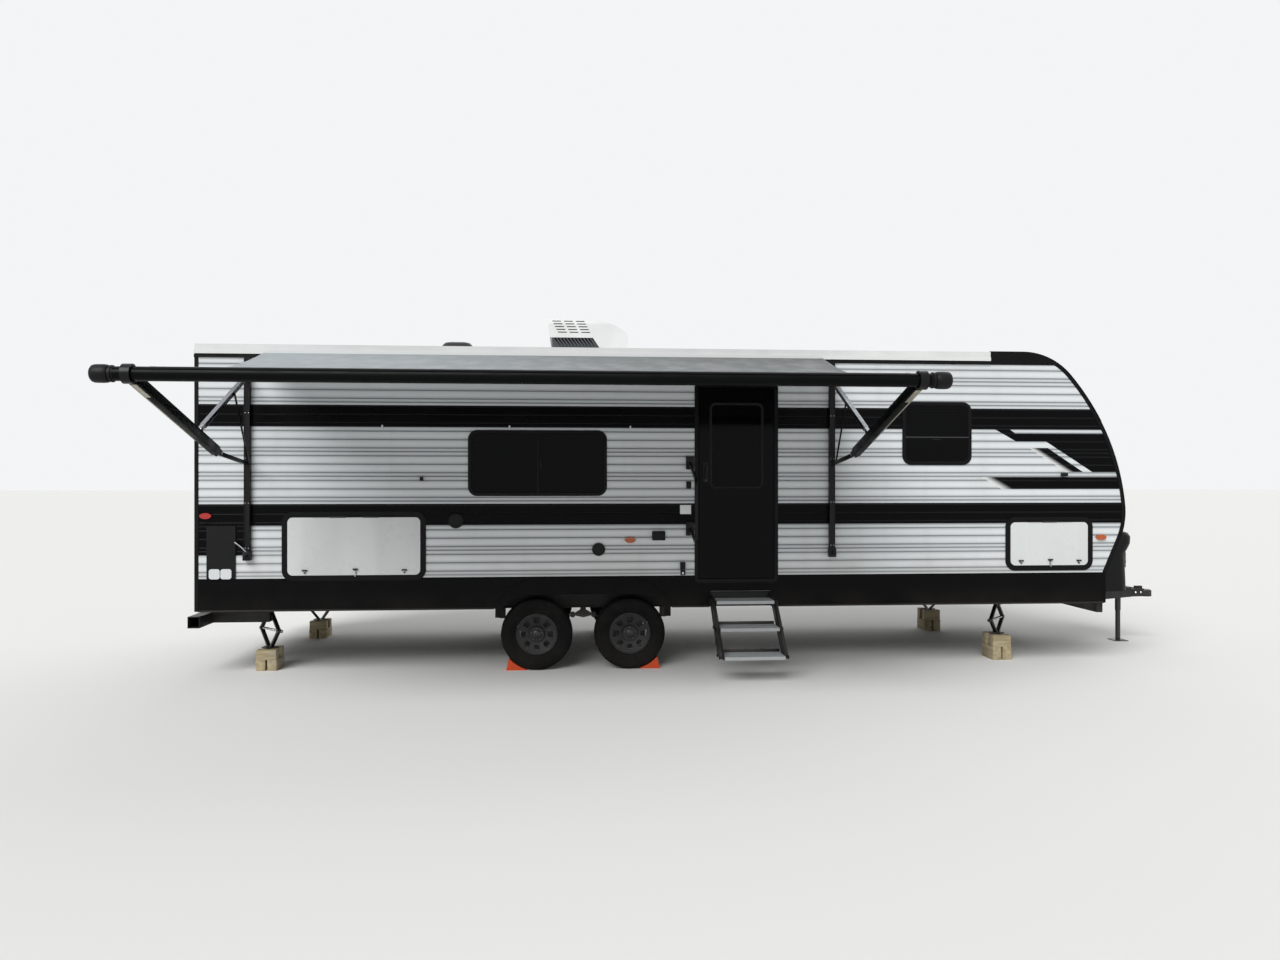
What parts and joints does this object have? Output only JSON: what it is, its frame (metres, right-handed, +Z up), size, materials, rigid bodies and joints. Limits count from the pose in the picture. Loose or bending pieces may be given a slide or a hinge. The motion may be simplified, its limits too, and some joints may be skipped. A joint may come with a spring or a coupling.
{
  "type": "travel caravan",
  "caption": "Tandem-axle travel trailer with a curved nose, black banded siding, entry door, baggage doors and the awning out, parked on its jacks.",
  "frame": {"origin": "middle of the tongue jack's foot plate, on the ground, on the trailer's centre plane", "axes": "+X towards the hitch, +Z up, +Y to the side away from the entry door and awning"},
  "size_m": [9.73, 4.7738, 3.38],
  "materials": {
    "siding_white": "satin",
    "siding_black": "gloss",
    "wall_board": "matt",
    "roof_sheet": "matt",
    "black_metal": "satin",
    "black_plastic": "satin",
    "door_gloss": "gloss",
    "dark_glass": "gloss",
    "door_white": "satin",
    "tyre": "matt",
    "rim_dark": "gloss",
    "step_grey": "ribbed",
    "steel": "worn",
    "arm_grey": "satin",
    "awning_fabric": "matt",
    "white_plastic": "satin",
    "dark_grille": "matt",
    "smoked_lid": "gloss",
    "clear_lens": "gloss",
    "amber": "gloss",
    "red": "gloss",
    "timber": "rough",
    "chock_orange": "satin"
  },
  "bodies": {
    "trailer": {"a_frame": "black_metal", "air_conditioner": "white_plastic", "air_conditioner_base": "dark_grille", "amber_lamps": "amber", "assist_handle": "black_metal", "awning_arms": "black_metal", "awning_cloth": "awning_fabric", "awning_links": "arm_grey", "awning_roller": "black_metal", "axles": "black_metal", "baggage_frames": "black_plastic", "black_trims": "black_metal", "chassis_frame": "black_metal", "clear_lamps": "clear_lens", "corner_jacks": "steel", "coupler": "black_metal", "entry_door_frame": "black_metal", "entry_steps": "step_grey", "fender_skirts": "black_plastic", "floor": "wall_board", "front_wall": "wall_board", "gas_bottle_cover": "black_plastic", "jack_blocks": "timber", "leaf_springs": "black_metal", "nose_cap": "black_plastic", "plumbing_vent": "white_plastic", "rear_bumper": "black_metal", "rear_wall": "wall_board", "red_lamps": "red", "roof": "roof_sheet", "roof_edges": "roof_sheet", "roof_vent_base": "white_plastic", "service_hatches": "white_plastic", "side_fittings": "black_plastic", "side_wall_left": "wall_board", "side_wall_right": "wall_board", "siding": "siding_white", "siding_bands": "siding_black", "skirts": "siding_black", "tongue_jack": "black_metal", "wheel_chocks": "chock_orange", "window_frames": "black_metal", "window_glass": "dark_glass"},
    "wheel_rear_right": {"tyre_rear_right": "tyre", "rim_rear_right": "rim_dark"},
    "wheel_rear_left": {"tyre_rear_left": "tyre", "rim_rear_left": "rim_dark"},
    "wheel_front_right": {"tyre_front_right": "tyre", "rim_front_right": "rim_dark"},
    "wheel_front_left": {"tyre_front_left": "tyre", "rim_front_left": "rim_dark"},
    "entry_door": {"entry_door": "door_gloss", "entry_door_glass": "dark_glass", "entry_door_handle": "black_plastic"},
    "baggage_door_rear_right": {"baggage_door_rear_right": "door_white"},
    "baggage_door_front_right": {"baggage_door_front_right": "door_white"},
    "baggage_door_front_left": {"baggage_door_front_left": "door_white"},
    "roof_vent_lid": {"roof_vent_lid": "smoked_lid"}
  },
  "joints": [
    {"name": "wheel_rear_right_spin", "type": "hinge", "parent": "trailer", "child": "wheel_rear_right", "pos_m": [-6.277, -1.0665, 0.33], "axis": [0, 1, 0], "continuous": true},
    {"name": "wheel_rear_left_spin", "type": "hinge", "parent": "trailer", "child": "wheel_rear_left", "pos_m": [-6.277, 1.0665, 0.33], "axis": [0, 1, 0], "continuous": true},
    {"name": "wheel_front_right_spin", "type": "hinge", "parent": "trailer", "child": "wheel_front_right", "pos_m": [-5.419, -1.0665, 0.33], "axis": [0, 1, 0], "continuous": true},
    {"name": "wheel_front_left_spin", "type": "hinge", "parent": "trailer", "child": "wheel_front_left", "pos_m": [-5.419, 1.0665, 0.33], "axis": [0, 1, 0], "continuous": true},
    {"name": "entry_door_hinge", "type": "hinge", "parent": "trailer", "child": "entry_door", "pos_m": [-4.078, -1.234, 1.72], "axis": [0, 0, 1], "range_deg": [0, 115]},
    {"name": "baggage_door_rear_right_hinge", "type": "hinge", "parent": "trailer", "child": "baggage_door_rear_right", "pos_m": [-7.904, -1.234, 1.423], "axis": [-1, 0, 0], "range_deg": [0, 165]},
    {"name": "baggage_door_front_right_hinge", "type": "hinge", "parent": "trailer", "child": "baggage_door_front_right", "pos_m": [-1.432, -1.234, 1.358], "axis": [-1, 0, 0], "range_deg": [0, 165]},
    {"name": "baggage_door_front_left_hinge", "type": "hinge", "parent": "trailer", "child": "baggage_door_front_left", "pos_m": [-1.432, 1.234, 1.358], "axis": [1, 0, 0], "range_deg": [0, 165]},
    {"name": "roof_vent_lid_hinge", "type": "hinge", "parent": "trailer", "child": "roof_vent_lid", "pos_m": [-6.933, 0, 3.021], "axis": [0, 1, 0], "range_deg": [0, 60]}
  ]
}
